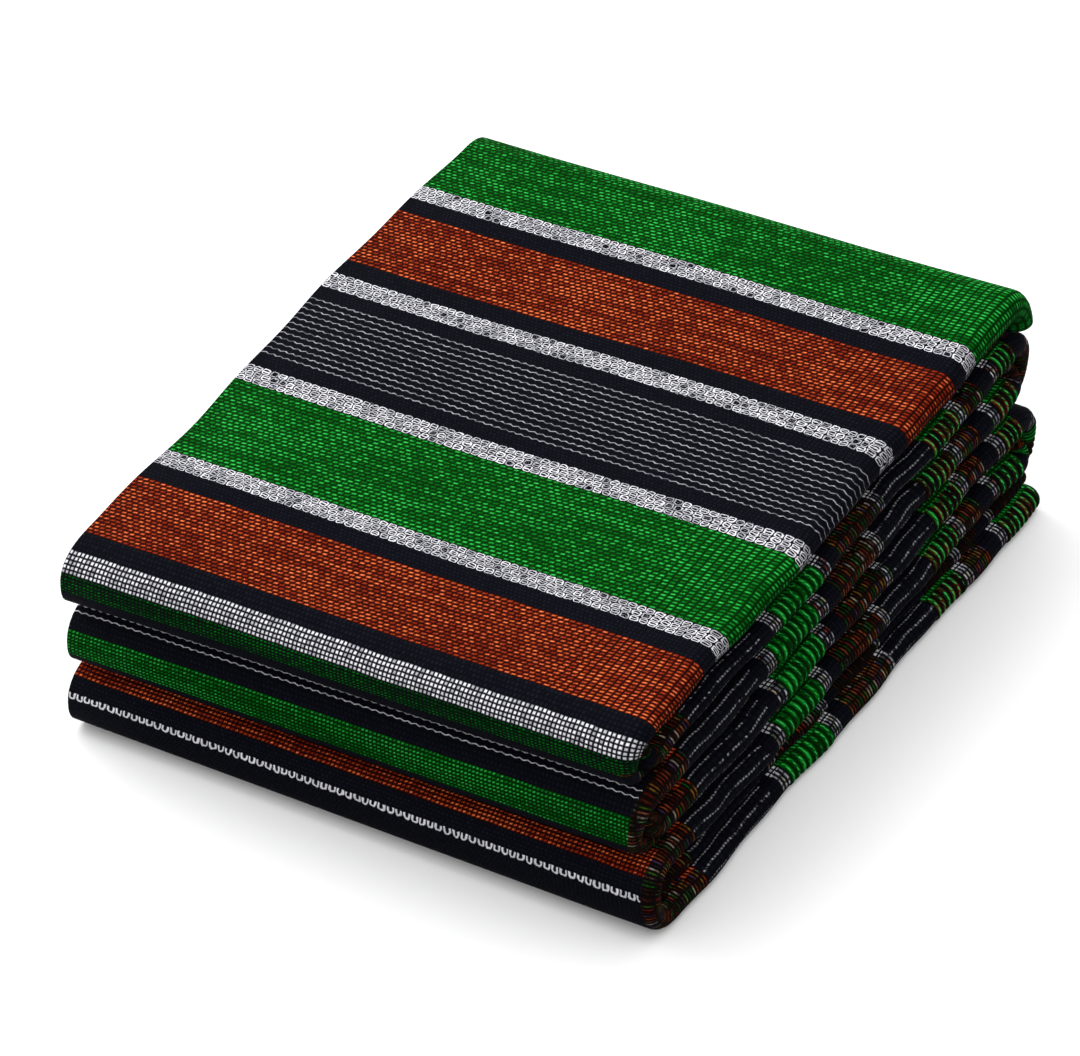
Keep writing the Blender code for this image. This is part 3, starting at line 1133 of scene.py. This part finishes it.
def floor():
    """A plain pale floor under the cloth."""
    mesh = bpy.data.meshes.new("floor")
    signs = ((-1.0, -1.0), (1.0, -1.0), (1.0, 1.0), (-1.0, 1.0))
    corners = [(x * FLOOR_SIZE, y * FLOOR_SIZE, -FLOOR_DROP) for x, y in signs]
    mesh.from_pydata(corners, [], [(0, 1, 2, 3)])
    nodes = Nodes("floor_paint", 0.9)
    nodes.put(nodes.shader.inputs["Base Color"], FLOOR_COLOUR)
    mesh.materials.append(nodes.material)
    piece = bpy.data.objects.new("floor", mesh)
    piece.visible_diffuse = False
    bpy.context.scene.collection.objects.link(piece)
    return piece


def area_light(name, place, target, size, power):
    """A round lamp at a place, turned to its target."""
    light = bpy.data.lights.new(name, "AREA")
    light.shape = "DISK"
    light.size = size
    light.energy = power
    lamp = bpy.data.objects.new(name, light)
    lamp.location = place
    lamp.rotation_euler = (Vector(target) - Vector(place)).to_track_quat("-Z", "Y").to_euler()
    bpy.context.scene.collection.objects.link(lamp)
    return lamp


def studio():
    """A soft white sky, brightest at the upper left and dim below, and a large key light at the left."""
    world = bpy.data.worlds.new("studio")
    world.use_nodes = True
    tree = world.node_tree
    place = tree.nodes.new("ShaderNodeTexCoord")
    toward = tree.nodes.new("ShaderNodeVectorMath")
    toward.operation = "DOT_PRODUCT"
    toward.inputs[1].default_value = SKY_AXIS
    rise = tree.nodes.new("ShaderNodeMapRange")
    rise.inputs["From Min"].default_value = SKY_DIM_UNTIL
    rise.inputs["From Max"].default_value = SKY_BRIGHT_FROM
    rise.inputs["To Min"].default_value = LIGHT_FROM_BELOW
    rise.inputs["To Max"].default_value = WORLD_LIGHT
    background = tree.nodes["Background"]
    background.inputs["Color"].default_value = (1.0, 1.0, 1.0, 1.0)
    tree.links.new(place.outputs["Generated"], toward.inputs[0])
    tree.links.new(toward.outputs["Value"], rise.inputs["Value"])
    tree.links.new(rise.outputs["Result"], background.inputs["Strength"])
    bpy.context.scene.world = world
    area_light("key", KEY_PLACE, KEY_TARGET, KEY_SIZE, KEY_POWER)


def camera():
    """The photo's camera: its angles, its distance and how far the picture's middle is off the target."""
    turn_angle, rise = math.radians(CAMERA_AZIMUTH), math.radians(CAMERA_ELEVATION)
    right = Vector((math.cos(turn_angle), math.sin(turn_angle), 0.0))
    flat = math.cos(rise)
    back = Vector((math.sin(turn_angle) * flat, -math.cos(turn_angle) * flat, math.sin(rise)))
    up = back.cross(right)
    eye = bpy.data.objects.new("camera", bpy.data.cameras.new("camera"))
    place = Vector(CAMERA_TARGET) + back * CAMERA_DISTANCE - right * CAMERA_RIGHT + up * CAMERA_UP
    eye.matrix_world = Matrix.Translation(place) @ Matrix((right, up, back)).transposed().to_4x4()
    eye.data.sensor_width = 36.0
    eye.data.lens = CAMERA_LENS
    eye.data.clip_end = 30.0
    bpy.context.scene.collection.objects.link(eye)
    bpy.context.scene.camera = eye


def main():
    """Builds the cloth and what stands round it for the picture."""
    piece = cloth(all_materials())
    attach(piece, "root")
    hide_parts("cloth")
    floor()
    studio()
    camera()
    bpy.context.scene.view_settings.view_transform = "Standard"


main()
